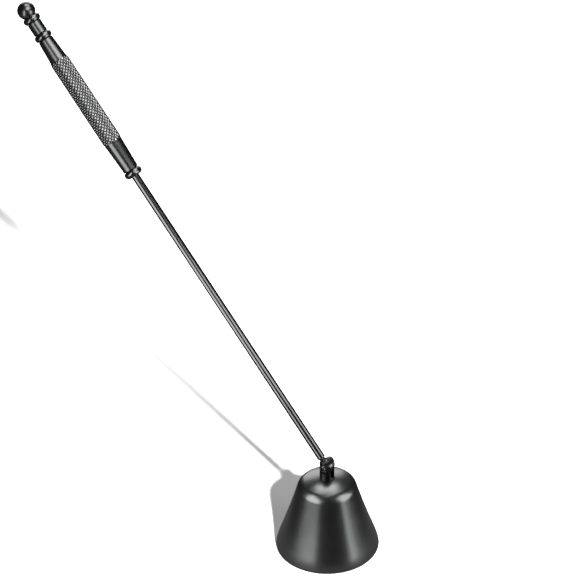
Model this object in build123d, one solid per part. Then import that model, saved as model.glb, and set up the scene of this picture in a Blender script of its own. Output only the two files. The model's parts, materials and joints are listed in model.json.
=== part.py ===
from build123d import *

import os
from math import cos, radians, sqrt, tan

# Candle snuffer: a cone-shaped bell on a hinged post, and a long rod with a turned handle.
# Lengths are in millimetres and angles in degrees.
# The origin is the centre of the bell's mouth, +Z runs up the bell's axis, and the hinge turns about Y.
# A piece of the stem is drawn upright over the pivot, and then leans with the stem towards -X.

# Bell
bell_mouth_radius = 19.25
bell_lip_height = 2.8
bell_lip_draw_in = 0.6
bell_lip_round = 28.0
bell_flare = 0.3
bell_crown_height = 30.8
bell_crown_radius = 22.0
bell_corner_share = 0.552
bell_shoulder_radius = 4.45
bell_wall = 2.75
bell_rim_round = 0.2
bell_seat_margin = 0.15

# Hinge post, a turned pin with a fork on top and a threaded stud below
post_radius = 2.75
post_edge_round = 0.12
pivot_rise = 5.25
slot_drop = 4.0
ear_half_width = 2.0
stud_radius = 1.5
stud_hole_clearance = 0.1
stud_tip = 0.6
stud_tip_chamfer = 0.3

# Washer and nut that hold the stud inside the bell
crown_washer_thickness = 0.5
crown_washer_round = 0.1
crown_nut_across_flats = 5.5
crown_nut_thickness = 2.0
crown_nut_chamfer = 0.25
thread_clearance = 0.05

# Hinge rivet, with a round head on one side and a rolled hollow end on the other
rivet_radius = 1.0
rivet_running_clearance = 0.06
rivet_hole_clearance = 0.02
rivet_head_radius = 1.7
rivet_head_height = 0.9
rivet_head_round = 0.45
rivet_rolled_radius = 1.25
rivet_rolled_height = 0.5
rivet_rolled_round = 0.2
rivet_bore_radius = 0.55
rivet_bore_depth = 1.6
spot_face_clearance = 0.25
hinge_washer_radius = 1.6
hinge_washer_thickness = 0.35
hinge_washer_round = 0.1

# Stem rod, with a flat eye at the hinge and a thin tie section inside the handle
stem_lean_angle = 46.0
eye_radius = 2.5
eye_thickness = 1.4
eye_side_clearance = 0.05
eye_edge_round = 0.15
shoulder_distance = 3.5
shoulder_round = 0.2
rod_radius = 1.5
rod_length = 125.2
tie_radius = 1.0
tie_thread_length = 3.4
tie_end_gap = 0.4
handle_bore_clearance = 0.05

# Handle, from the rod up to the ball
lower_ring_radius = 3.5
lower_ring_width = 2.8
spigot_clearance = 0.03
spigot_length = 1.5
lower_ferrule_length = 12.2
lower_ferrule_small_radius = 2.98
lower_ferrule_large_radius = 3.5
grip_radius = 3.75
grip_length = 36.4
grip_bore_radius = 2.7
grip_chamfer_depth = 0.3
grip_chamfer_length = 0.9
upper_ferrule_length = 8.9
upper_ferrule_small_radius = 2.85
upper_ferrule_large_radius = 3.37
middle_ring_radius = 3.4
middle_ring_width = 2.9
neck_radius = 2.7
neck_length = 4.7
upper_ring_radius = 3.4
upper_ring_width = 2.8
ball_radius = 3.43
ball_seat_radius = 2.5
sleeve_edge_round = 0.1

# Overrun of the tools that cut through a piece
overrun = 1.0

# Places that follow from the sizes above
pivot_height = bell_crown_height + pivot_rise
slot_half_width = eye_thickness / 2 + eye_side_clearance
rod_end = shoulder_distance + rod_length
lower_ferrule_start = rod_end + lower_ring_width
grip_start = lower_ferrule_start + lower_ferrule_length
upper_ferrule_start = grip_start + grip_length
middle_ring_start = upper_ferrule_start + upper_ferrule_length
neck_start = middle_ring_start + middle_ring_width
upper_ring_start = neck_start + neck_length
ball_seat = upper_ring_start + upper_ring_width
handle_bore_radius = tie_radius + handle_bore_clearance


def on_stem(piece):
    """Moves a piece drawn upright from the pivot to its place on the leaning stem."""
    return Pos(0, 0, pivot_height) * Rot(0, -stem_lean_angle, 0) * piece


def upright_cylinder(radius, bottom, height):
    """A cylinder on the Z axis that stands on a given height."""
    return Pos(0, 0, bottom) * Cylinder(radius, height, align=(Align.CENTER, Align.CENTER, Align.MIN))


def hinge_cylinder(radius, start, end):
    """A cylinder on the hinge axis, from one distance along Y to another."""
    upright = upright_cylinder(radius, start, end - start)
    return Pos(0, 0, pivot_height) * Rot(-90, 0, 0) * upright


def turned(outline):
    """A solid turned about Z from a closed outline in the XZ plane."""
    return revolve(make_face(outline), axis=Axis.Z)


def bell_body(inset):
    """The bell as a full solid, drawn in on every outer side by an inset."""
    dome_centre = bell_crown_height - sqrt(bell_crown_radius**2 - (post_radius + bell_seat_margin) ** 2)
    dome_radius = bell_crown_radius - inset
    seat_height = bell_crown_height - inset
    seat_radius = sqrt(dome_radius**2 - (seat_height - dome_centre) ** 2)
    # The flank's mean line runs from the lip to a corner with the dome, and the inset keeps its slope.
    corner_radius = bell_corner_share * bell_mouth_radius
    corner_height = dome_centre + sqrt(bell_crown_radius**2 - corner_radius**2)
    slope = (bell_mouth_radius - bell_lip_draw_in - corner_radius) / (corner_height - bell_lip_height)
    square = 1 + slope**2
    mouth_radius = bell_mouth_radius - inset * sqrt(square)
    lip_radius = mouth_radius - bell_lip_draw_in
    # Here that line is drawn on down to the mouth's plane.
    foot_radius = lip_radius + slope * bell_lip_height
    # The shoulder is where that line meets the dome.
    half_linear = foot_radius * slope + dome_centre
    constant = foot_radius**2 + dome_centre**2 - dome_radius**2
    shoulder_height = (half_linear + sqrt(half_linear**2 - square * constant)) / square
    shoulder_radius = foot_radius - slope * shoulder_height
    middle_radius = (shoulder_radius + seat_radius) / 2
    middle_height = dome_centre + sqrt(dome_radius**2 - middle_radius**2)
    # The flank is a shallow hollow arc, drawn in from its mean line by the flare.
    hollow_radius = (lip_radius + shoulder_radius) / 2 - bell_flare / sqrt(square)
    hollow_height = (bell_lip_height + shoulder_height) / 2 - bell_flare * slope / sqrt(square)
    lip = (lip_radius, 0, bell_lip_height)
    shoulder = (shoulder_radius, 0, shoulder_height)
    seat_edge = (seat_radius, 0, seat_height)
    lip_side = Line((mouth_radius, 0, 0), lip)
    flank = ThreePointArc(lip, (hollow_radius, 0, hollow_height), shoulder)
    outline = [
        Line((0, 0, 0), (mouth_radius, 0, 0)),
        lip_side,
        flank,
        ThreePointArc(shoulder, (middle_radius, 0, middle_height), seat_edge),
        Line(seat_edge, (0, 0, seat_height)),
        Line((0, 0, seat_height), (0, 0, 0)),
    ]
    face = make_face(outline)
    corner = face.vertices().sort_by_distance(shoulder)[0]
    face = fillet(corner, bell_shoulder_radius - inset)
    # The lip's round stays above the rim's, so the lip's height limits it where the flank leans more.
    room = lip_side.length - 2 * bell_rim_round
    turn = radians((lip_side % 1).get_angle(flank % 0))
    corner = face.vertices().sort_by_distance(lip)[0]
    face = fillet(corner, min(bell_lip_round, room / tan(turn / 2)))
    return revolve(face, axis=Axis.Z)


def bell_shell():
    """The bell: an even wall, open at the mouth, with a lip that turns down, and a hole for the stud."""
    shell = bell_body(0) - bell_body(bell_wall)
    hole_radius = stud_radius + stud_hole_clearance
    shell -= upright_cylinder(hole_radius, bell_crown_height - bell_wall - overrun, bell_wall + 2 * overrun)
    rim = shell.faces().sort_by(Axis.Z)[0]
    return fillet(rim.edges(), bell_rim_round)


def hinge_post():
    """The post: a fork with a round top, seats for the rivet, and a stud that passes the bell."""
    fork = upright_cylinder(post_radius, bell_crown_height, pivot_rise + post_radius)
    waist = Pos(0, 0, bell_crown_height) * Box(
        4 * post_radius, 4 * post_radius, pivot_rise, align=(Align.CENTER, Align.CENTER, Align.MIN)
    )
    fork &= waist + hinge_cylinder(post_radius, -2 * post_radius, 2 * post_radius)
    slot_height = slot_drop + post_radius + overrun
    fork -= Pos(0, 0, pivot_height - slot_drop) * Box(
        4 * post_radius, 2 * slot_half_width, slot_height, align=(Align.CENTER, Align.CENTER, Align.MIN)
    )
    fork = fillet(fork.edges(), post_edge_round)
    for side in (-1, 1):
        spot_radius = rivet_head_radius + spot_face_clearance
        near, far = sorted((side * ear_half_width, side * (post_radius + overrun)))
        fork -= hinge_cylinder(spot_radius, near, far)
    fork -= hinge_cylinder(rivet_radius + rivet_hole_clearance, -post_radius - overrun, post_radius + overrun)
    stud_length = bell_wall + crown_washer_thickness + crown_nut_thickness + stud_tip
    stud = upright_cylinder(stud_radius, bell_crown_height - stud_length, stud_length)
    stud = chamfer(stud.faces().sort_by(Axis.Z)[0].edges(), stud_tip_chamfer)
    return fork + stud


def crown_washer():
    """The flat washer between the bell's crown and the nut, as wide as the post above it."""
    bottom = bell_crown_height - bell_wall - crown_washer_thickness
    washer = upright_cylinder(post_radius, bottom, crown_washer_thickness)
    washer = fillet(washer.edges().filter_by(GeomType.CIRCLE), crown_washer_round)
    hole_radius = stud_radius + stud_hole_clearance
    return washer - upright_cylinder(hole_radius, bottom - overrun, crown_washer_thickness + 2 * overrun)


def crown_nut():
    """The hexagon nut on the stud, inside the bell."""
    bottom = bell_crown_height - bell_wall - crown_washer_thickness - crown_nut_thickness
    hexagon = RegularPolygon(crown_nut_across_flats / 2, 6, major_radius=False)
    nut = Pos(0, 0, bottom) * extrude(hexagon, crown_nut_thickness)
    # A cone with its rim on the flats takes the six corners off, above and below.
    corner_radius = crown_nut_across_flats / 2 / cos(radians(30))
    corner_room = corner_radius - crown_nut_across_flats / 2
    top = bottom + crown_nut_thickness
    outline = Polyline(
        (0, 0, bottom),
        (crown_nut_across_flats / 2, 0, bottom),
        (corner_radius, 0, bottom + crown_nut_chamfer),
        (corner_radius + corner_room, 0, bottom + 2 * crown_nut_chamfer),
        (corner_radius + corner_room, 0, top - 2 * crown_nut_chamfer),
        (corner_radius, 0, top - crown_nut_chamfer),
        (crown_nut_across_flats / 2, 0, top),
        (0, 0, top),
        close=True,
    )
    nut &= turned(outline)
    bore_radius = stud_radius + thread_clearance
    return nut - upright_cylinder(bore_radius, bottom - overrun, crown_nut_thickness + 2 * overrun)


def hinge_rivet():
    """The rivet: head on the +Y ear, shank through the eye, hollow end rolled over a washer."""
    rolled_start = -ear_half_width - hinge_washer_thickness
    rolled_end = rolled_start - rivet_rolled_height
    head = hinge_cylinder(rivet_head_radius, ear_half_width, ear_half_width + rivet_head_height)
    head = fillet(head.edges().sort_by(Axis.Y)[-1], rivet_head_round)
    rolled = hinge_cylinder(rivet_rolled_radius, rolled_end, rolled_start)
    rolled = fillet(rolled.edges().sort_by(Axis.Y)[0], rivet_rolled_round)
    shank = hinge_cylinder(rivet_radius, rolled_start, ear_half_width)
    bore = hinge_cylinder(rivet_bore_radius, rolled_end - overrun, rolled_end + rivet_bore_depth)
    return head + shank + rolled - bore


def hinge_washer():
    """The small washer under the rivet's rolled end, on the -Y ear."""
    start = -ear_half_width - hinge_washer_thickness
    washer = hinge_cylinder(hinge_washer_radius, start, -ear_half_width)
    washer = fillet(washer.edges().filter_by(GeomType.CIRCLE).sort_by(Axis.Y)[0], hinge_washer_round)
    return washer - hinge_cylinder(rivet_radius + rivet_hole_clearance, start - overrun, overrun - ear_half_width)


def stem_rod():
    """The rod: a flat eye, a round rod with a square shoulder, and the thin tie in the handle."""
    # The neck of the eye is as wide as fits on the flat of the shoulder, and runs into the rod.
    neck_half_width = sqrt((rod_radius - shoulder_round) ** 2 - (eye_thickness / 2) ** 2)
    neck = Box(
        2 * neck_half_width, eye_thickness, shoulder_distance + rod_radius,
        align=(Align.CENTER, Align.CENTER, Align.MIN),
    )
    eye = Rot(-90, 0, 0) * Cylinder(eye_radius, eye_thickness) + neck
    sides = eye.faces().filter_by(Axis.Y)
    eye = fillet(sides.edges(), eye_edge_round)
    eye -= Rot(-90, 0, 0) * Cylinder(rivet_radius + rivet_running_clearance, eye_thickness + 2 * overrun)
    rod = upright_cylinder(rod_radius, shoulder_distance, rod_length)
    rod = fillet(rod.edges().filter_by(GeomType.CIRCLE).sort_by(Axis.Z)[0], shoulder_round)
    tie = upright_cylinder(tie_radius, rod_end, ball_seat + tie_thread_length - rod_end)
    return on_stem(eye + rod + tie)


def ring(radius, width, start):
    """A half-round bead on the tie, as wide as its rounding, that starts at a distance from the pivot."""
    tube_radius = width / 2
    end_radius = radius - tube_radius
    outline = [
        Line((handle_bore_radius, 0, start), (end_radius, 0, start)),
        ThreePointArc((end_radius, 0, start), (radius, 0, start + tube_radius), (end_radius, 0, start + width)),
        Line((end_radius, 0, start + width), (handle_bore_radius, 0, start + width)),
        Line((handle_bore_radius, 0, start + width), (handle_bore_radius, 0, start)),
    ]
    return on_stem(turned(outline))


def sleeve(radii, start, length):
    """A plain or tapered sleeve on the tie, with its lower and upper outer radius."""
    lower_radius, upper_radius = radii
    outline = Polyline(
        (handle_bore_radius, 0, start),
        (lower_radius, 0, start),
        (upper_radius, 0, start + length),
        (handle_bore_radius, 0, start + length),
        close=True,
    )
    rims = make_face(outline).vertices().sort_by(Axis.X)[2:]
    return on_stem(revolve(fillet(rims, sleeve_edge_round), axis=Axis.Z))


def grip_spigot(start):
    """The short collar on a ferrule's end that centres the hollow grip."""
    radius = grip_bore_radius - spigot_clearance
    bore = upright_cylinder(handle_bore_radius, start - overrun, spigot_length + 2 * overrun)
    return on_stem(upright_cylinder(radius, start, spigot_length) - bore)


def knurled_grip():
    """The grip: a tube at the size over its knurl, with both ends turned down to a cone."""
    end_radius = grip_radius - grip_chamfer_depth
    end = grip_start + grip_length
    outline = Polyline(
        (grip_bore_radius, 0, grip_start),
        (end_radius, 0, grip_start),
        (grip_radius, 0, grip_start + grip_chamfer_length),
        (grip_radius, 0, end - grip_chamfer_length),
        (end_radius, 0, end),
        (grip_bore_radius, 0, end),
        close=True,
    )
    return on_stem(turned(outline))


def ball_finial():
    """The ball on top, cut flat where it sits on its ring, with a blind hole for the tie."""
    seat_drop = sqrt(ball_radius**2 - ball_seat_radius**2)
    ball = Pos(0, 0, ball_seat + seat_drop) * Sphere(ball_radius)
    ball -= upright_cylinder(2 * ball_radius, ball_seat - 2 * ball_radius, 2 * ball_radius)
    bore_length = tie_thread_length + tie_end_gap
    return on_stem(ball - upright_cylinder(handle_bore_radius, ball_seat - overrun, bore_length + overrun))


parts = {
    "bell_shell": bell_shell(),
    "hinge_post": hinge_post(),
    "crown_washer": crown_washer(),
    "crown_nut": crown_nut(),
    "hinge_rivet": hinge_rivet(),
    "hinge_washer": hinge_washer(),
    "stem_rod": stem_rod(),
    "lower_ring": ring(lower_ring_radius, lower_ring_width, rod_end),
    "lower_ferrule": sleeve(
        (lower_ferrule_small_radius, lower_ferrule_large_radius), lower_ferrule_start, lower_ferrule_length
    ) + grip_spigot(grip_start),
    "knurled_grip": knurled_grip(),
    "upper_ferrule": sleeve(
        (upper_ferrule_large_radius, upper_ferrule_small_radius), upper_ferrule_start, upper_ferrule_length
    ) + grip_spigot(upper_ferrule_start - spigot_length),
    "middle_ring": ring(middle_ring_radius, middle_ring_width, middle_ring_start),
    "neck_sleeve": sleeve((neck_radius, neck_radius), neck_start, neck_length),
    "upper_ring": ring(upper_ring_radius, upper_ring_width, upper_ring_start),
    "ball_finial": ball_finial(),
}

os.makedirs("parts", exist_ok=True)
for name, piece in parts.items():
    export_step(piece, f"parts/{name}.step")
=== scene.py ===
import json
import logging
from dataclasses import dataclass, field
from enum import Enum
from math import cos, pi, radians, sin, tau
from typing import Any, Optional, Union

import bpy
from mathutils import Matrix, Vector


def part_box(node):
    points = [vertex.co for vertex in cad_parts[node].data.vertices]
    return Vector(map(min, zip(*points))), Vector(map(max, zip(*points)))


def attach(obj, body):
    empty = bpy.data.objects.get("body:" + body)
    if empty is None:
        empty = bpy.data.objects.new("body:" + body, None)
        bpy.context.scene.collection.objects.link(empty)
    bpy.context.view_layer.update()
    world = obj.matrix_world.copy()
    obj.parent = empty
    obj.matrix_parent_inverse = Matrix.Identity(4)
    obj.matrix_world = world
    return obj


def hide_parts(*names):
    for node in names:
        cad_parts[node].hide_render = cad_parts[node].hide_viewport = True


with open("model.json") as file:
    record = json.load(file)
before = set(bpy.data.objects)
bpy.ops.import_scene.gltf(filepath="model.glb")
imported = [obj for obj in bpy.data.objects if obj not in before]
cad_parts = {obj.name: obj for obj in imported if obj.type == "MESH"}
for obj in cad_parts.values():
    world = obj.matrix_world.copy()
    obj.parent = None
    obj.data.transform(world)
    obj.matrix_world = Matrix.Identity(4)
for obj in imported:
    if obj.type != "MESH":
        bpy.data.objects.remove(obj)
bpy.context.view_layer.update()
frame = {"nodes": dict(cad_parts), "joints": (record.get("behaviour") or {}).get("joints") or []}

logging.basicConfig(level=logging.INFO, format="%(levelname)s %(name)s: %(message)s")
LOG = logging.getLogger("snuffer")

MM = 0.001
STEM_LEAN = radians(46.0)
PIVOT = Vector(frame["joints"][0]["pos_m"])
WHITE = (1.0, 1.0, 1.0, 1.0)

# A Mix node repeats its sockets' names for each kind of data, so they are taken by number.
MIX_FACTOR, MIX_COLOUR_A, MIX_COLOUR_B, MIX_COLOUR_OUT = 0, 6, 7, 2

# Marks are drawn out along their lay: their frequency there is this share of the one across it.
DRAWN_OUT_SHARE = 0.02
# Soft clouds in the plating, in millimetres across.
CLOUD_SIZE = 6.25
# Values of the clouds between which the plating thins, and the share of worn colour at its thinnest.
THIN_START, THIN_END, THIN_SHARE = 0.45, 0.75, 0.6
# The cavity attribute's values at which a groove ends and a crest starts, and how dark the painted shade
# leaves a groove's bottom.
GROOVE_END, CREST_START, GROOVE_PAINTED_SHADE = 0.12, 0.92, 0.04
# Marks and clouds count alike for the roughness, which follows their mean between two values.
MARK_SHARE, CLOUD_SHARE = 0.5, 0.5
ROUGH_START, ROUGH_END = 0.3, 0.7

Links = dict[Union[str, int], Union[bpy.types.NodeSocket, float, int, bool, tuple, Vector]]


class Body(Enum):
    """The two bodies of the hinge."""

    BELL = "bell"
    STEM = "stem"


class Slot(Enum):
    """A material slot of the record, named for the scene's own knurled piece."""

    KNURL = "knurl_metal"


class Lay(Enum):
    """The way that the marks of a tool or a die run on a metal surface."""

    AROUND = "around the turning axis"
    ALONG = "along the drawing axis"
    NONE = "no direction"


def linear(hex_colour: str) -> tuple[float, float, float, float]:
    """Turns an sRGB hex colour to linear light.

    Args:
        hex_colour: Six hex digits with a leading hash.

    Returns:
        Red, green, blue and an alpha of one, in linear light.
    """
    values = [int(hex_colour[i : i + 2], 16) / 255 for i in (1, 3, 5)]
    red, green, blue = (v / 12.92 if v <= 0.04045 else ((v + 0.055) / 1.055) ** 2.4 for v in values)
    return red, green, blue, 1.0


def add_node(
    tree: bpy.types.NodeTree,
    kind: str,
    settings: Optional[dict[str, Any]] = None,
    links: Optional[Links] = None,
) -> bpy.types.Node:
    """Adds a node with its settings, and feeds its sockets.

    Args:
        tree: The node tree that gets the node.
        kind: The node's bl_idname.
        settings: Attributes of the node, set before its sockets are fed.
        links: What each input socket, by name or index, is linked to or set to.

    Returns:
        The new node.
    """
    node = tree.nodes.new(kind)
    for name, value in (settings or {}).items():
        setattr(node, name, value)
    for socket, source in (links or {}).items():
        if isinstance(source, bpy.types.NodeSocket):
            tree.links.new(source, node.inputs[socket])
        else:
            node.inputs[socket].default_value = source
    return node


@dataclass(frozen=True)
class Noise:
    """How fine a noise is.

    Attributes:
        octaves: Finer noises that are laid over the coarsest one.
        gain: Strength of each of them beside the one before it.
    """

    octaves: float
    gain: float


MARK_NOISE = Noise(octaves=3.0, gain=0.6)
GRAIN_NOISE = Noise(octaves=2.0, gain=0.5)
CLOUD_NOISE = Noise(octaves=3.0, gain=0.55)


@dataclass(frozen=True)
class MetalFinish:
    """A metal surface: its plating, how it was made, and the fine pattern that this leaves.

    Attributes:
        name: Common name of the material and of how it was made.
        colour: sRGB hex of the metal where it faces the eye.
        worn_colour: sRGB hex of the spots where the plating is a little thinner.
        roughness: Mean roughness of the surface.
        roughness_spread: How far the roughness wanders up and down.
        lay: Which way the fine marks run.
        mark_spacing: Mean spacing of the fine marks, in millimetres.
        mark_depth: Height of the bump that the marks give, in millimetres.
        grain: Size of the plating's own grain, in millimetres.
        grain_depth: Height of the bump that the grain gives, in millimetres.
        cavity: Name of a mesh attribute that is 0 in a groove and 1 on a crest, by which the grooves get
            painted shade, or an empty text.
    """

    name: str
    colour: str
    worn_colour: str
    roughness: float
    roughness_spread: float
    lay: Lay
    mark_spacing: float
    mark_depth: float
    grain: float
    grain_depth: float
    cavity: str = ""

    def local_place(self, tree: bpy.types.NodeTree, body: Body) -> bpy.types.NodeSocket:
        """Gives a place in millimetres with Z along the piece's own turning axis.

        Args:
            tree: The material's node tree.
            body: The body that the piece belongs to.

        Returns:
            The vector socket with the place.
        """
        location, rotation = (0.0, 0.0, 0.0), (0.0, 0.0, 0.0)
        if body is Body.STEM:
            location, rotation = tuple(PIVOT), (0.0, -STEM_LEAN, 0.0)
        coordinates = add_node(tree, "ShaderNodeTexCoord")
        upright = add_node(
            tree, "ShaderNodeMapping", {"vector_type": "TEXTURE"},
            {"Vector": coordinates.outputs["Object"], "Location": location, "Rotation": rotation,
             "Scale": (MM, MM, MM)},
        )
        return upright.outputs["Vector"]

    def build(self, body: Body) -> bpy.types.Material:
        """Builds the material.

        Args:
            body: The body that the pieces that wear it belong to.

        Returns:
            The finished material.
        """
        material = bpy.data.materials.new(self.name)
        material.use_nodes = True
        tree = material.node_tree
        tree.nodes.clear()
        place = self.local_place(tree, body)

        # The marks of the tool are a noise that is drawn out along their lay.
        per_mark = 1 / self.mark_spacing
        along = DRAWN_OUT_SHARE * per_mark
        frequencies = {
            Lay.AROUND: (along, along, per_mark),
            Lay.ALONG: (per_mark, per_mark, along),
            Lay.NONE: (per_mark, per_mark, per_mark),
        }[self.lay]
        stretched = add_node(tree, "ShaderNodeMapping", {"vector_type": "POINT"},
                             {"Vector": place, "Scale": frequencies})
        marks, grain, clouds = (
            add_node(tree, "ShaderNodeTexNoise", None,
                     {"Vector": where, "Scale": scale, "Detail": noise.octaves, "Roughness": noise.gain})
            for where, scale, noise in (
                (stretched.outputs["Vector"], 1.0, MARK_NOISE),
                (place, 1 / self.grain, GRAIN_NOISE),
                (place, 1 / CLOUD_SIZE, CLOUD_NOISE),
            )
        )

        # The plating wanders a little in tone, and is thinner in soft spots.
        thin = add_node(tree, "ShaderNodeMapRange", {"clamp": True},
                        {"Value": clouds.outputs["Fac"], "From Min": THIN_START, "From Max": THIN_END,
                         "To Min": 0.0, "To Max": THIN_SHARE})
        tone = add_node(tree, "ShaderNodeMix", {"data_type": "RGBA", "blend_type": "MIX"},
                        {MIX_FACTOR: thin.outputs["Result"], MIX_COLOUR_A: linear(self.colour),
                         MIX_COLOUR_B: linear(self.worn_colour)})
        colour = tone.outputs[MIX_COLOUR_OUT]
        if self.cavity:
            # Painted shade: the colour is darkened towards the bottom of each groove, where light falls
            # short, against its crest.
            crest = add_node(tree, "ShaderNodeAttribute", {"attribute_name": self.cavity})
            shade = add_node(tree, "ShaderNodeMapRange", {"clamp": True},
                             {"Value": crest.outputs["Fac"], "From Min": GROOVE_END,
                              "From Max": CREST_START, "To Min": GROOVE_PAINTED_SHADE, "To Max": 1.0})
            painted_groove_shade = add_node(tree, "ShaderNodeMix", {"data_type": "RGBA", "blend_type": "MULTIPLY"},
                              {MIX_FACTOR: 1.0, MIX_COLOUR_A: colour,
                               MIX_COLOUR_B: shade.outputs["Result"]})
            colour = painted_groove_shade.outputs[MIX_COLOUR_OUT]

        # Roughness follows the marks and the clouds.
        of_marks = add_node(tree, "ShaderNodeMath", {"operation": "MULTIPLY"},
                            {0: marks.outputs["Fac"], 1: MARK_SHARE})
        mean = add_node(tree, "ShaderNodeMath", {"operation": "MULTIPLY_ADD"},
                        {0: clouds.outputs["Fac"], 1: CLOUD_SHARE, 2: of_marks.outputs["Value"]})
        roughness = add_node(tree, "ShaderNodeMapRange", {"clamp": True},
                             {"Value": mean.outputs["Value"], "From Min": ROUGH_START,
                              "From Max": ROUGH_END, "To Min": self.roughness - self.roughness_spread,
                              "To Max": self.roughness + self.roughness_spread})

        grain_bump = add_node(tree, "ShaderNodeBump", None,
                              {"Height": grain.outputs["Fac"], "Strength": 1.0,
                               "Distance": self.grain_depth * MM})
        mark_bump = add_node(tree, "ShaderNodeBump", None,
                             {"Height": marks.outputs["Fac"], "Strength": 1.0,
                              "Distance": self.mark_depth * MM, "Normal": grain_bump.outputs["Normal"]})
        surface = add_node(tree, "ShaderNodeBsdfPrincipled", None,
                           {"Base Color": colour, "Metallic": 1.0, "Normal": mark_bump.outputs["Normal"],
                            "Roughness": roughness.outputs["Result"]})
        add_node(tree, "ShaderNodeOutputMaterial", None, {"Surface": surface.outputs["BSDF"]})
        return material


# Real tool marks and grain are finer than the picture shows, so they are as coarse here as they need to be.

# Cast brass, bead blasted and plated with satin black nickel: broad soft highlights on a dark grey.
CAST_BELL = MetalFinish(
    name="satin_black_nickel_on_cast_brass", colour="#8a8c8b", worn_colour="#939391",
    roughness=0.29, roughness_spread=0.02, lay=Lay.NONE, mark_spacing=1.2, mark_depth=0.002,
    grain=0.25, grain_depth=0.0005,
)
# Machined steel in black nickel, left as the tool cut it: the darkest metal, with soft highlights.
MACHINED_HINGE = MetalFinish(
    name="black_nickel_on_machined_steel", colour="#4e504f", worn_colour="#5a5a58",
    roughness=0.30, roughness_spread=0.04, lay=Lay.AROUND, mark_spacing=0.25, mark_depth=0.0015,
    grain=0.15, grain_depth=0.0004,
)
# Rolled and polished steel in black nickel: the rivet's ends and its washer catch small bright spots.
POLISHED_RIVET = MetalFinish(
    name="black_nickel_on_polished_steel", colour="#9a9c9b", worn_colour="#a4a4a2",
    roughness=0.15, roughness_spread=0.03, lay=Lay.NONE, mark_spacing=0.3, mark_depth=0.001,
    grain=0.15, grain_depth=0.0004,
)
# Drawn steel rod, polished and plated: thin long highlights, with faint marks of the die along it.
DRAWN_ROD = MetalFinish(
    name="black_nickel_on_drawn_steel_rod", colour="#808281", worn_colour="#8a8a88",
    roughness=0.2, roughness_spread=0.03, lay=Lay.ALONG, mark_spacing=0.3, mark_depth=0.001,
    grain=0.3, grain_depth=0.0004,
)
# Turned aluminium in black nickel: fine rings around it from the lathe, and a soft gloss.
TURNED_HANDLE = MetalFinish(
    name="black_nickel_on_turned_aluminium", colour="#787a79", worn_colour="#828280",
    roughness=0.27, roughness_spread=0.03, lay=Lay.AROUND, mark_spacing=0.3, mark_depth=0.0012,
    grain=0.3, grain_depth=0.0004,
)
# Turned aluminium that was polished before its plating: the beads show thin bright lines.
POLISHED_BEAD = MetalFinish(
    name="black_nickel_on_polished_aluminium", colour="#848685", worn_colour="#8e8e8c",
    roughness=0.20, roughness_spread=0.03, lay=Lay.AROUND, mark_spacing=0.3, mark_depth=0.0006,
    grain=0.3, grain_depth=0.0003,
)
# Knurled aluminium in black nickel, in a pale colour with painted shade that darkens its grooves against its
# crests.
KNURLED_GRIP = MetalFinish(
    name="black_nickel_on_knurled_aluminium", colour="#e6e8e7", worn_colour="#eeeeec",
    roughness=0.24, roughness_spread=0.05, lay=Lay.NONE, mark_spacing=0.2, mark_depth=0.003,
    grain=0.12, grain_depth=0.001, cavity="crest",
)
# Steel washer and nut with bright zinc: paler than the rest, and hidden inside the bell.
ZINC_HARDWARE = MetalFinish(
    name="bright_zinc_on_steel", colour="#b9bab4", worn_colour="#c4c0ae",
    roughness=0.32, roughness_spread=0.06, lay=Lay.NONE, mark_spacing=0.5, mark_depth=0.003,
    grain=0.15, grain_depth=0.001,
)


@dataclass(frozen=True)
class SheetFinish:
    """A matt plastic sheet, with a faint mottle that keeps it from looking flat.

    Attributes:
        name: Common name of the material and of its surface.
        colour: sRGB hex of the sheet.
        mottle_colour: sRGB hex of the mottle's palest spots.
        mottle_frequency: Spots of the mottle in a metre.
        mottle: How fine the mottle is.
        roughness: Roughness of the surface.
        gloss: Strength of its mirror reflection, where 0.5 is that of plain plastic.
    """

    name: str
    colour: str
    mottle_colour: str
    mottle_frequency: float
    mottle: Noise
    roughness: float
    gloss: float

    def build(self) -> bpy.types.Material:
        """Builds the material.

        Returns:
            The finished material.
        """
        material = bpy.data.materials.new(self.name)
        material.use_nodes = True
        tree = material.node_tree
        tree.nodes.clear()
        coordinates = add_node(tree, "ShaderNodeTexCoord")
        mottle = add_node(tree, "ShaderNodeTexNoise", None,
                          {"Vector": coordinates.outputs["Object"], "Scale": self.mottle_frequency,
                           "Detail": self.mottle.octaves, "Roughness": self.mottle.gain})
        tone = add_node(tree, "ShaderNodeMix", {"data_type": "RGBA"},
                        {MIX_FACTOR: mottle.outputs["Fac"], MIX_COLOUR_A: linear(self.colour),
                         MIX_COLOUR_B: linear(self.mottle_colour)})
        surface = add_node(tree, "ShaderNodeBsdfPrincipled", None,
                           {"Base Color": tone.outputs[MIX_COLOUR_OUT], "Roughness": self.roughness,
                            "Specular IOR Level": self.gloss})
        add_node(tree, "ShaderNodeOutputMaterial", None, {"Surface": surface.outputs["BSDF"]})
        return material


# White acrylic with a sanded face: an even pale floor that mirrors next to nothing.
WHITE_FLOOR = SheetFinish(
    name="matt_white_acrylic_floor", colour="#cacaca", mottle_colour="#cecece",
    mottle_frequency=3.0, mottle=Noise(octaves=2.0, gain=0.5), roughness=0.9, gloss=0.1,
)


def dress(node: str, material: bpy.types.Material) -> None:
    """Gives every material slot of a CAD node a material.

    Args:
        node: The node's name.
        material: The material that it wears.
    """
    for material_slot in frame["nodes"][node].material_slots:
        material_slot.material = material
    LOG.info("%s wears %s", node, material.name)


@dataclass
class BellAssembly:
    """The bell with the washer and the nut inside its crown."""

    shell: str = "bell_shell"
    hardware: tuple[str, ...] = ("crown_washer", "crown_nut")

    def build(self) -> None:
        """Dresses the shell and the hardware."""
        dress(self.shell, CAST_BELL.build(Body.BELL))
        zinc = ZINC_HARDWARE.build(Body.BELL)
        for node in self.hardware:
            dress(node, zinc)


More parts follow.
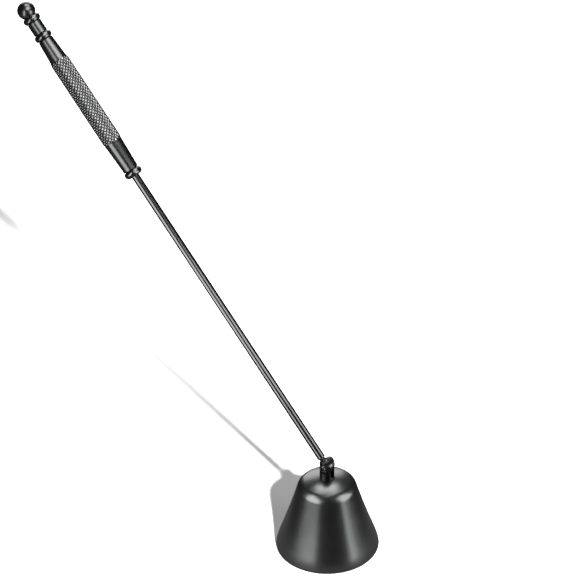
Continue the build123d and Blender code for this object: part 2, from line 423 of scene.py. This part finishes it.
@dataclass
class HingeAssembly:
    """The forked post, its rivet and the rivet's washer."""

    post: str = "hinge_post"
    riveted: tuple[str, ...] = ("hinge_rivet", "hinge_washer")

    def build(self) -> None:
        """Dresses the post, and the rivet with its washer."""
        dress(self.post, MACHINED_HINGE.build(Body.BELL))
        polished = POLISHED_RIVET.build(Body.BELL)
        for node in self.riveted:
            dress(node, polished)


# The knurl starts as a flat grid, this many units wide and high about its middle.
GRID_SIDE = 1.0
# Rows are told apart to half a row, and a ridge takes half of its width to rise.
HALF_ROW, HALF_RIDGE = 0.5, 0.5
# The formula that makes the grid the grip. A step has a name, an operation and what it takes: numbers,
# the grid's x and y, earlier steps, or the tree's inputs, whose names start with a capital.
KNURL_FORMULA: tuple[tuple[Union[str, float], ...], ...] = (
    # The grid's X runs once around the grip.
    ("vertices around", "ADD", "Steps around", 1.0),
    ("turn", "ADD", "grid x", GRID_SIDE / 2),
    # Its rows start on the bore's foot, go up the outside, and end on the bore's top and at the start.
    ("closing row", "SUBTRACT", "Rows", 1.0),
    ("bore top row", "SUBTRACT", "closing row", 1.0),
    ("last outside row", "SUBTRACT", "bore top row", 1.0),
    ("share of rows", "ADD", "grid y", GRID_SIDE / 2),
    ("exact row", "MULTIPLY", "share of rows", "closing row"),
    ("row", "ROUND", "exact row"),
    ("is bore foot", "LESS_THAN", "row", HALF_ROW),
    ("bore top start", "SUBTRACT", "bore top row", HALF_ROW),
    ("is bore top", "GREATER_THAN", "row", "bore top start"),
    ("is bore", "MAXIMUM", "is bore foot", "is bore top"),
    ("is outside", "SUBTRACT", 1.0, "is bore"),
    ("is closing", "COMPARE", "row", "closing row", HALF_ROW),
    ("is before closing", "SUBTRACT", 1.0, "is closing"),
    # The outside's rows share the length out, and the bore's two rows lie level with its ends.
    ("steps up", "SUBTRACT", "row", 1.0),
    ("all steps", "SUBTRACT", "last outside row", 1.0),
    ("rise", "DIVIDE", "steps up", "all steps"),
    ("rise from foot", "MAXIMUM", "rise", 0.0),
    ("rise to top", "MINIMUM", "rise from foot", 1.0),
    ("full height", "MULTIPLY", "rise to top", "Length"),
    ("height", "MULTIPLY", "full height", "is before closing"),
    # Each family of helices counts its ridges by a slanted coordinate.
    ("ridges around", "MULTIPLY", "turn", "Starts"),
    ("middle", "DIVIDE", "Length", 2.0),
    ("from middle", "SUBTRACT", "height", "middle"),
    ("ridges along", "DIVIDE", "from middle", "Axial pitch"),
    ("right slant", "ADD", "ridges around", "ridges along"),
    ("left slant", "SUBTRACT", "ridges around", "ridges along"),
    # A triangle wave for each, of which the lower one counts, gives a ridge with a flat crest.
    ("right wave", "PINGPONG", "right slant", HALF_RIDGE),
    ("left wave", "PINGPONG", "left slant", HALF_RIDGE),
    ("wave", "MINIMUM", "right wave", "left wave"),
    ("ridge", "DIVIDE", "wave", HALF_RIDGE),
    ("rising share", "SUBTRACT", 1.0, "Crest flat"),
    ("steep ridge", "DIVIDE", "ridge", "rising share"),
    ("crest", "MINIMUM", "steep ridge", 1.0),
    ("hollow", "SUBTRACT", 1.0, "crest"),
    ("sunk", "MULTIPLY", "hollow", "Groove depth"),
    ("knurled radius", "SUBTRACT", "Crest radius", "sunk"),
    # The cone at each end cuts the ridges off.
    ("from top", "SUBTRACT", "Length", "height"),
    ("from end", "MINIMUM", "height", "from top"),
    ("cone share", "DIVIDE", "from end", "Cone length"),
    ("cone foot", "SUBTRACT", "Crest radius", "Cone depth"),
    ("cone radius", "MULTIPLY_ADD", "cone share", "Cone depth", "cone foot"),
    ("outside radius", "MINIMUM", "knurled radius", "cone radius"),
    ("bore part", "MULTIPLY", "Bore radius", "is bore"),
    ("radius", "MULTIPLY_ADD", "outside radius", "is outside", "bore part"),
    # The grid is wrapped around Z.
    ("angle", "MULTIPLY", "turn", tau),
    ("cosine", "COSINE", "angle"),
    ("sine", "SINE", "angle"),
    ("x", "MULTIPLY", "cosine", "radius"),
    ("y", "MULTIPLY", "sine", "radius"),
    # The finish reads how high on a ridge a point lies for the painted shade in its grooves, and the bore
    # counts as a crest.
    ("cavity", "MAXIMUM", "crest", "is bore"),
)


@dataclass
class KnurledGrip:
    """The knurled tube of the handle, as ridges that follow two families of helices.

    Attributes:
        length: Length along the stem, in millimetres.
        crest_radius: Radius over the ridges, in millimetres.
        bore_radius: Radius of the hollow, in millimetres.
        starts: Ridges of one family, counted around the grip.
        axial_pitch: Distance between crests along the grip, in millimetres.
        groove_depth: Depth of the grooves, in millimetres.
        crest_flat: Share of the ridge that its worn crest takes.
        cone_depth: How far the ends are turned down, in millimetres.
        cone_length: Length of the cone at each end, in millimetres.
        steps: Mesh steps in one pitch.
        weld_distance: How close two points of the mesh are made one, in millimetres.
        smooth_angle: Largest turn at an edge that is shaded smooth, in degrees.
    """

    length: float = 36.4
    crest_radius: float = 3.75
    bore_radius: float = 2.7
    starts: int = 15
    axial_pitch: float = 1.62
    groove_depth: float = 0.34
    crest_flat: float = 0.26
    cone_depth: float = 0.3
    cone_length: float = 0.9
    steps: int = 12
    weld_distance: float = 0.0005
    smooth_angle: float = 62.0

    @staticmethod
    def tree() -> bpy.types.GeometryNodeTree:
        """Builds the Geometry Nodes tree that wraps a grid round the grip and presses the knurl.

        Returns:
            The tree, with named inputs for the grip's sizes.
        """
        tree = bpy.data.node_groups.new("knurl", "GeometryNodeTree")
        face = tree.interface
        face.new_socket("Geometry", in_out="OUTPUT", socket_type="NodeSocketGeometry")
        for kind, names in (
            ("NodeSocketFloat", ("Length", "Crest radius", "Bore radius", "Starts", "Axial pitch",
                                 "Groove depth", "Crest flat", "Cone depth", "Cone length",
                                 "Weld distance", "Smooth angle")),
            ("NodeSocketInt", ("Steps around", "Rows")),
            ("NodeSocketMaterial", ("Finish",)),
        ):
            for name in names:
                face.new_socket(name, in_out="INPUT", socket_type=kind)
        given = add_node(tree, "NodeGroupInput").outputs
        flat = add_node(tree, "GeometryNodeInputPosition")
        split = add_node(tree, "ShaderNodeSeparateXYZ", None, {0: flat.outputs["Position"]})
        results = {"grid x": split.outputs["X"], "grid y": split.outputs["Y"]}
        for name, operation, *operands in KNURL_FORMULA:
            sources = dict(enumerate(operands))
            for place, operand in enumerate(operands):
                if isinstance(operand, str):
                    sources[place] = results[operand] if operand in results else given[operand]
            step = add_node(tree, "ShaderNodeMath", {"operation": operation}, sources)
            results[name] = step.outputs["Value"]

        grid = add_node(tree, "GeometryNodeMeshGrid", None,
                        {"Size X": GRID_SIDE, "Size Y": GRID_SIDE,
                         "Vertices X": results["vertices around"], "Vertices Y": given["Rows"]})
        wrapped = add_node(tree, "ShaderNodeCombineXYZ", None,
                           {"X": results["x"], "Y": results["y"], "Z": results["height"]})
        kept = add_node(tree, "GeometryNodeStoreNamedAttribute", {"data_type": "FLOAT", "domain": "POINT"},
                        {"Geometry": grid.outputs["Mesh"], "Name": KNURLED_GRIP.cavity,
                         "Value": results["cavity"]})
        placed = add_node(tree, "GeometryNodeSetPosition", None,
                          {"Geometry": kept.outputs["Geometry"], "Position": wrapped.outputs["Vector"]})
        joined = add_node(tree, "GeometryNodeMergeByDistance", None,
                          {"Geometry": placed.outputs["Geometry"], "Distance": given["Weld distance"]})

        # Only the turned ends have a sharp edge: the ridges are rounded by the plating.
        edge_angle = add_node(tree, "GeometryNodeInputMeshEdgeAngle")
        gentle = add_node(tree, "FunctionNodeCompare", {"data_type": "FLOAT", "operation": "LESS_THAN"},
                          {"A": edge_angle.outputs["Unsigned Angle"], "B": given["Smooth angle"]})
        all_faces = add_node(tree, "GeometryNodeSetShadeSmooth", {"domain": "FACE"},
                             {"Geometry": joined.outputs["Geometry"], "Shade Smooth": True})
        smooth = add_node(tree, "GeometryNodeSetShadeSmooth", {"domain": "EDGE"},
                          {"Geometry": all_faces.outputs["Geometry"],
                           "Shade Smooth": gentle.outputs["Result"]})
        real = add_node(tree, "GeometryNodeRealizeInstances", None, {"Geometry": smooth.outputs["Geometry"]})
        finished = add_node(tree, "GeometryNodeSetMaterial", None,
                            {"Geometry": real.outputs["Geometry"], "Material": given["Finish"]})
        add_node(tree, "NodeGroupOutput", None, {"Geometry": finished.outputs["Geometry"]})
        return tree

    def build(self, finish: bpy.types.Material) -> bpy.types.Object:
        """Makes the knurled grip and stands it in for its CAD node.

        Args:
            finish: The material that it wears.

        Returns:
            The finished piece.
        """
        tree = self.tree()
        # The outside has one row more than it has steps. Two rows on the bore and a closing one are added.
        bore_rows, closing_rows = 2, 1
        outside_rows = round((self.length / self.axial_pitch) * self.steps) + 1
        values = {
            "Length": self.length * MM, "Crest radius": self.crest_radius * MM,
            "Bore radius": self.bore_radius * MM, "Starts": float(self.starts),
            "Axial pitch": self.axial_pitch * MM, "Groove depth": self.groove_depth * MM,
            "Crest flat": self.crest_flat, "Cone depth": self.cone_depth * MM,
            "Cone length": self.cone_length * MM, "Weld distance": self.weld_distance * MM,
            "Smooth angle": radians(self.smooth_angle), "Steps around": self.starts * self.steps,
            "Rows": outside_rows + bore_rows + closing_rows, "Finish": finish,
        }
        carrier = bpy.data.objects.new("knurl_carrier", bpy.data.meshes.new("knurl_carrier"))
        bpy.context.scene.collection.objects.link(carrier)
        modifier = carrier.modifiers.new("knurl", "NODES")
        modifier.node_group = tree
        for item in tree.interface.items_tree:
            if item.in_out == "INPUT":
                modifier[item.identifier] = values[item.name]
        carrier.update_tag()
        bpy.context.view_layer.update()
        graph = bpy.context.evaluated_depsgraph_get()
        mesh = bpy.data.meshes.new_from_object(
            carrier.evaluated_get(graph), preserve_all_data_layers=True, depsgraph=graph
        )
        carrier.modifiers.remove(modifier)
        bpy.data.objects.remove(carrier)
        low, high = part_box("knurled_grip")
        middle = (low + high) / 2
        lean = Matrix.Rotation(-STEM_LEAN, 4, "Y")
        centred = Matrix.Translation((0, 0, -self.length * MM / 2))
        mesh.transform(Matrix.Translation(middle) @ lean @ centred)
        mesh.name = "knurled_sleeve"
        piece = bpy.data.objects.new("knurled_sleeve", mesh)
        bpy.context.scene.collection.objects.link(piece)
        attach(piece, Body.STEM.value)
        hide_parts("knurled_grip")
        LOG.info("knurled_sleeve has %d faces", len(mesh.polygons))
        return piece


@dataclass
class StemAssembly:
    """The rod and the handle that is clamped on it."""

    rod: str = "stem_rod"
    beads: tuple[str, ...] = ("lower_ring", "middle_ring", "upper_ring")
    turned: tuple[str, ...] = ("lower_ferrule", "upper_ferrule", "neck_sleeve", "ball_finial")
    grip: KnurledGrip = field(default_factory=KnurledGrip)

    def build(self) -> None:
        """Dresses the rod and the turned pieces, and makes the knurled grip."""
        dress(self.rod, DRAWN_ROD.build(Body.STEM))
        handle, polished = TURNED_HANDLE.build(Body.STEM), POLISHED_BEAD.build(Body.STEM)
        for node in self.turned:
            dress(node, handle)
        for node in self.beads:
            dress(node, polished)
        self.grip.build(KNURLED_GRIP.build(Body.STEM))


@dataclass(frozen=True)
class Softbox:
    """A soft light. Its places count to the right of the bell, towards the camera, and up.

    Attributes:
        name: Name of the light.
        place: Where its middle hangs, in millimetres.
        aim: Point that it faces, in millimetres.
        width: Width in metres.
        height: Height in metres.
        glow: Brightness of its face, in watts per square metre and steradian.
        beam: Full angle of its beam, in degrees.
        turn: Turn in its own plane, in degrees.
    """

    name: str
    place: tuple[float, float, float]
    aim: tuple[float, float, float]
    width: float
    height: float
    glow: float
    beam: float = 180.0
    turn: float = 0.0


@dataclass(frozen=True)
class Key:
    """The distant light that whitens the floor and throws the shadow. The metal doesn't mirror it.

    Attributes:
        bearing: Angle to the right of the camera's side, seen from above, in degrees.
        elevation: Angle above the floor, in degrees.
        strength: Strength in watts per square metre.
        softness: Angle that the light takes up in the sky, in degrees.
    """

    bearing: float
    elevation: float
    strength: float
    softness: float


@dataclass
class PhotoStudio:
    """The floor, the lights and the camera.

    Attributes:
        azimuth: Where the camera stands around the object, in degrees.
        elevation: How far it looks down, in degrees.
        roll: How far it is turned clockwise on its own view, in degrees.
        focal_length: Its focal length, in millimetres.
        sensor_width: Width of its sensor, in millimetres.
        clip_start: Nearest distance that it sees, in metres.
        clip_end: Farthest distance that it sees, in metres.
        distance: Distance of the camera from the point that it is set up on, in millimetres.
        aside: Shift of the camera to its right, in millimetres.
        above: Shift of the camera to its own up, in millimetres.
        aim_height: Height of the point that it is set up on, in millimetres.
        floor_half: Half the floor's width, in metres.
        floor_drop: How far the floor lies under the bell's rim, in millimetres.
        lights: The softboxes: a near panel on each side for the bell's long stripes, one overhead and
            one behind for its dome and the upper edges, and a narrow strip each for handle and rod.
        key: The light that throws the shadow.
        mat_radius: Radius of the grey mat that the metal mirrors, in millimetres.
        mat_sides: Sides of the polygon that the mat is.
        mat_drop: How far the mat lies under the bell's rim, in millimetres.
        mat_glow: Brightness of that mat.
        dim_above: Brightness of the surroundings above the horizon.
        dim_below: Their brightness straight below it.
        dim_start: How steeply down the brightness starts to change, where 1 is straight down.
        dim_end: How steeply down it has changed.
    """

    azimuth: float = 41.25
    elevation: float = 36.35
    roll: float = 0.67
    focal_length: float = 406.25
    sensor_width: float = 36.0
    clip_start: float = 0.05
    clip_end: float = 100.0
    distance: float = 2406.5
    aside: float = -14.41
    above: float = 65.53
    aim_height: float = 36.5
    floor_half: float = 6.0
    floor_drop: float = 0.05
    lights: tuple[Softbox, ...] = (
        Softbox("left_softbox", (-228.0, 268.0, 166.0), (0.0, 298.0, 166.0), 0.45, 0.325, 2.3),
        Softbox("right_softbox", (235.0, 128.0, 170.0), (0.0, 128.0, 170.0), 0.225, 0.36, 2.0, turn=15.0),
        Softbox("overhead_softbox", (0.0, -340.0, 850.0), (0.0, 0.0, 20.0), 0.54, 0.33, 2.7),
        Softbox("back_softbox", (-88.0, -841.0, 308.0), (0.0, 0.0, 20.0), 0.66, 0.50, 1.65),
        Softbox("handle_strip", (-25.0, 10.0, 404.0), (-150.0, -115.0, 120.0), 0.33, 0.19, 0.5, beam=68.0),
        Softbox("rod_strip", (53.0, 85.0, 211.0), (-60.0, -55.0, 100.0), 0.14, 0.07, 0.28, beam=44.0),
    )
    key: Key = Key(bearing=20.0, elevation=40.0, strength=14.0, softness=2.6)
    mat_radius: float = 46.0
    mat_sides: int = 96
    mat_drop: float = 0.01
    mat_glow: float = 0.14
    dim_above: float = 0.03
    dim_below: float = 0.06
    dim_start: float = 0.1
    dim_end: float = 0.6

    def axes(self) -> tuple[Vector, Vector]:
        """Gives the camera's level directions.

        Returns:
            Its level right, and the way that it looks.
        """
        turn, tilt = radians(self.azimuth), radians(self.elevation)
        right = Vector((cos(turn), sin(turn), 0.0))
        look = Vector((-sin(turn) * cos(tilt), cos(turn) * cos(tilt), -sin(tilt)))
        return right, look

    def towards_camera(self) -> Vector:
        """Gives the level unit vector from the bell to the camera's side."""
        look = self.axes()[1]
        return Vector((-look.x, -look.y, 0.0)).normalized()

    def camera(self) -> None:
        """Sets the camera at the photograph's viewing angle."""
        level, look = self.axes()
        upright, roll = level.cross(look), radians(self.roll)
        right, up = cos(roll) * level - sin(roll) * upright, cos(roll) * upright + sin(roll) * level
        data = bpy.data.cameras.new("photo_camera")
        data.sensor_fit = "HORIZONTAL"
        data.sensor_width = self.sensor_width
        data.lens = self.focal_length
        data.clip_start, data.clip_end = self.clip_start, self.clip_end
        camera = bpy.data.objects.new("photo_camera", data)
        place = (
            Vector((0.0, 0.0, self.aim_height)) - self.distance * look
            + self.aside * right + self.above * up
        )
        turned = Matrix((right, up, -look)).transposed().to_4x4()
        camera.matrix_world = Matrix.Translation(place * MM) @ turned
        bpy.context.scene.collection.objects.link(camera)
        bpy.context.scene.camera = camera

    def floor(self) -> None:
        """Lays the pale floor, which the metal doesn't mirror."""
        mesh = bpy.data.meshes.new("studio_floor")
        half, height = self.floor_half, -self.floor_drop * MM
        corners = [(-half, -half, height), (half, -half, height), (half, half, height), (-half, half, height)]
        mesh.from_pydata(corners, [], [(0, 1, 2, 3)])
        floor = bpy.data.objects.new("studio_floor", mesh)
        bpy.context.scene.collection.objects.link(floor)
        mesh.materials.append(WHITE_FLOOR.build())
        floor.visible_glossy = False

    def from_bell(self, counts: tuple[float, float, float]) -> Vector:
        """Gives a place in the studio.

        Args:
            counts: How far it lies to the right of the bell, towards the camera, and up, in millimetres.

        Returns:
            The place in metres.
        """
        right = self.axes()[0]
        return (counts[0] * right + counts[1] * self.towards_camera() + Vector((0.0, 0.0, counts[2]))) * MM

    def way_to(self, bearing: float, elevation: float) -> Vector:
        """Gives the direction of a light from the object.

        Args:
            bearing: Angle to the right of the camera's side, in degrees.
            elevation: Angle above the floor, in degrees.

        Returns:
            The unit vector towards the light.
        """
        turn, lift = radians(bearing), radians(elevation)
        level = sin(turn) * self.axes()[0] + cos(turn) * self.towards_camera()
        return cos(lift) * level + Vector((0.0, 0.0, sin(lift)))

    def mat(self) -> None:
        """Lays a round grey mat under the object that only the metal's reflections show."""
        mesh = bpy.data.meshes.new("studio_mat")
        around = [tau * i / self.mat_sides for i in range(self.mat_sides)]
        radius, height = self.mat_radius * MM, -self.mat_drop * MM
        rim = [(radius * cos(t), radius * sin(t), height) for t in around]
        mesh.from_pydata(rim, [], [tuple(range(self.mat_sides))])
        mat = bpy.data.objects.new("studio_mat", mesh)
        bpy.context.scene.collection.objects.link(mat)
        material = bpy.data.materials.new("grey_studio_mat")
        material.use_nodes = True
        tree = material.node_tree
        tree.nodes.clear()
        glow = add_node(tree, "ShaderNodeEmission", None, {"Color": WHITE, "Strength": self.mat_glow})
        add_node(tree, "ShaderNodeOutputMaterial", None, {"Surface": glow.outputs["Emission"]})
        mesh.materials.append(material)
        mat.visible_camera = mat.visible_diffuse = False
        mat.visible_shadow = mat.visible_transmission = False

    def key_light(self) -> None:
        """Sets the light that throws the shadow."""
        way = self.way_to(self.key.bearing, self.key.elevation)
        data = bpy.data.lights.new("key_light", "SUN")
        data.energy = self.key.strength
        data.angle = radians(self.key.softness)
        lamp = bpy.data.objects.new("key_light", data)
        lamp.matrix_world = way.to_track_quat("Z", "Y").to_matrix().to_4x4()
        lamp.visible_glossy = False
        bpy.context.scene.collection.objects.link(lamp)

    def light(self, box: Softbox) -> None:
        """Hangs one softbox.

        Args:
            box: The softbox.
        """
        data = bpy.data.lights.new(box.name, "AREA")
        data.shape = "RECTANGLE"
        data.size, data.size_y = box.width, box.height
        data.energy = pi * box.width * box.height * box.glow
        data.spread = radians(box.beam)
        lamp = bpy.data.objects.new(box.name, data)
        place, aim = self.from_bell(box.place), self.from_bell(box.aim)
        facing = (place - aim).to_track_quat("Z", "Y").to_matrix().to_4x4()
        lamp.matrix_world = Matrix.Translation(place) @ facing @ Matrix.Rotation(radians(box.turn), 4, "Z")
        bpy.context.scene.collection.objects.link(lamp)

    def surroundings(self) -> None:
        """Leaves a faint light all around, a little brighter below the horizon."""
        world = bpy.data.worlds.new("studio_surroundings")
        world.use_nodes = True
        tree = world.node_tree
        tree.nodes.clear()
        way = add_node(tree, "ShaderNodeNewGeometry")
        split = add_node(tree, "ShaderNodeSeparateXYZ", None, {0: way.outputs["Incoming"]})
        dim = add_node(tree, "ShaderNodeMapRange", {"clamp": True},
                       {"Value": split.outputs["Z"], "From Min": self.dim_start, "From Max": self.dim_end,
                        "To Min": self.dim_above, "To Max": self.dim_below})
        glow = add_node(tree, "ShaderNodeBackground", None,
                        {"Color": WHITE, "Strength": dim.outputs["Result"]})
        add_node(tree, "ShaderNodeOutputWorld", None, {"Surface": glow.outputs["Background"]})
        bpy.context.scene.world = world

    def build(self) -> None:
        """Sets up the whole studio."""
        self.camera()
        self.floor()
        self.mat()
        self.surroundings()
        self.key_light()
        for box in self.lights:
            self.light(box)
        bpy.context.scene.view_settings.view_transform = "Standard"
        LOG.info("studio has %d softboxes and a key light", len(self.lights))


def main() -> None:
    """Builds the snuffer's sub-assemblies in order, then the studio."""
    BellAssembly().build()
    HingeAssembly().build()
    StemAssembly().build()
    PhotoStudio().build()


if __name__ == "__main__":
    main()
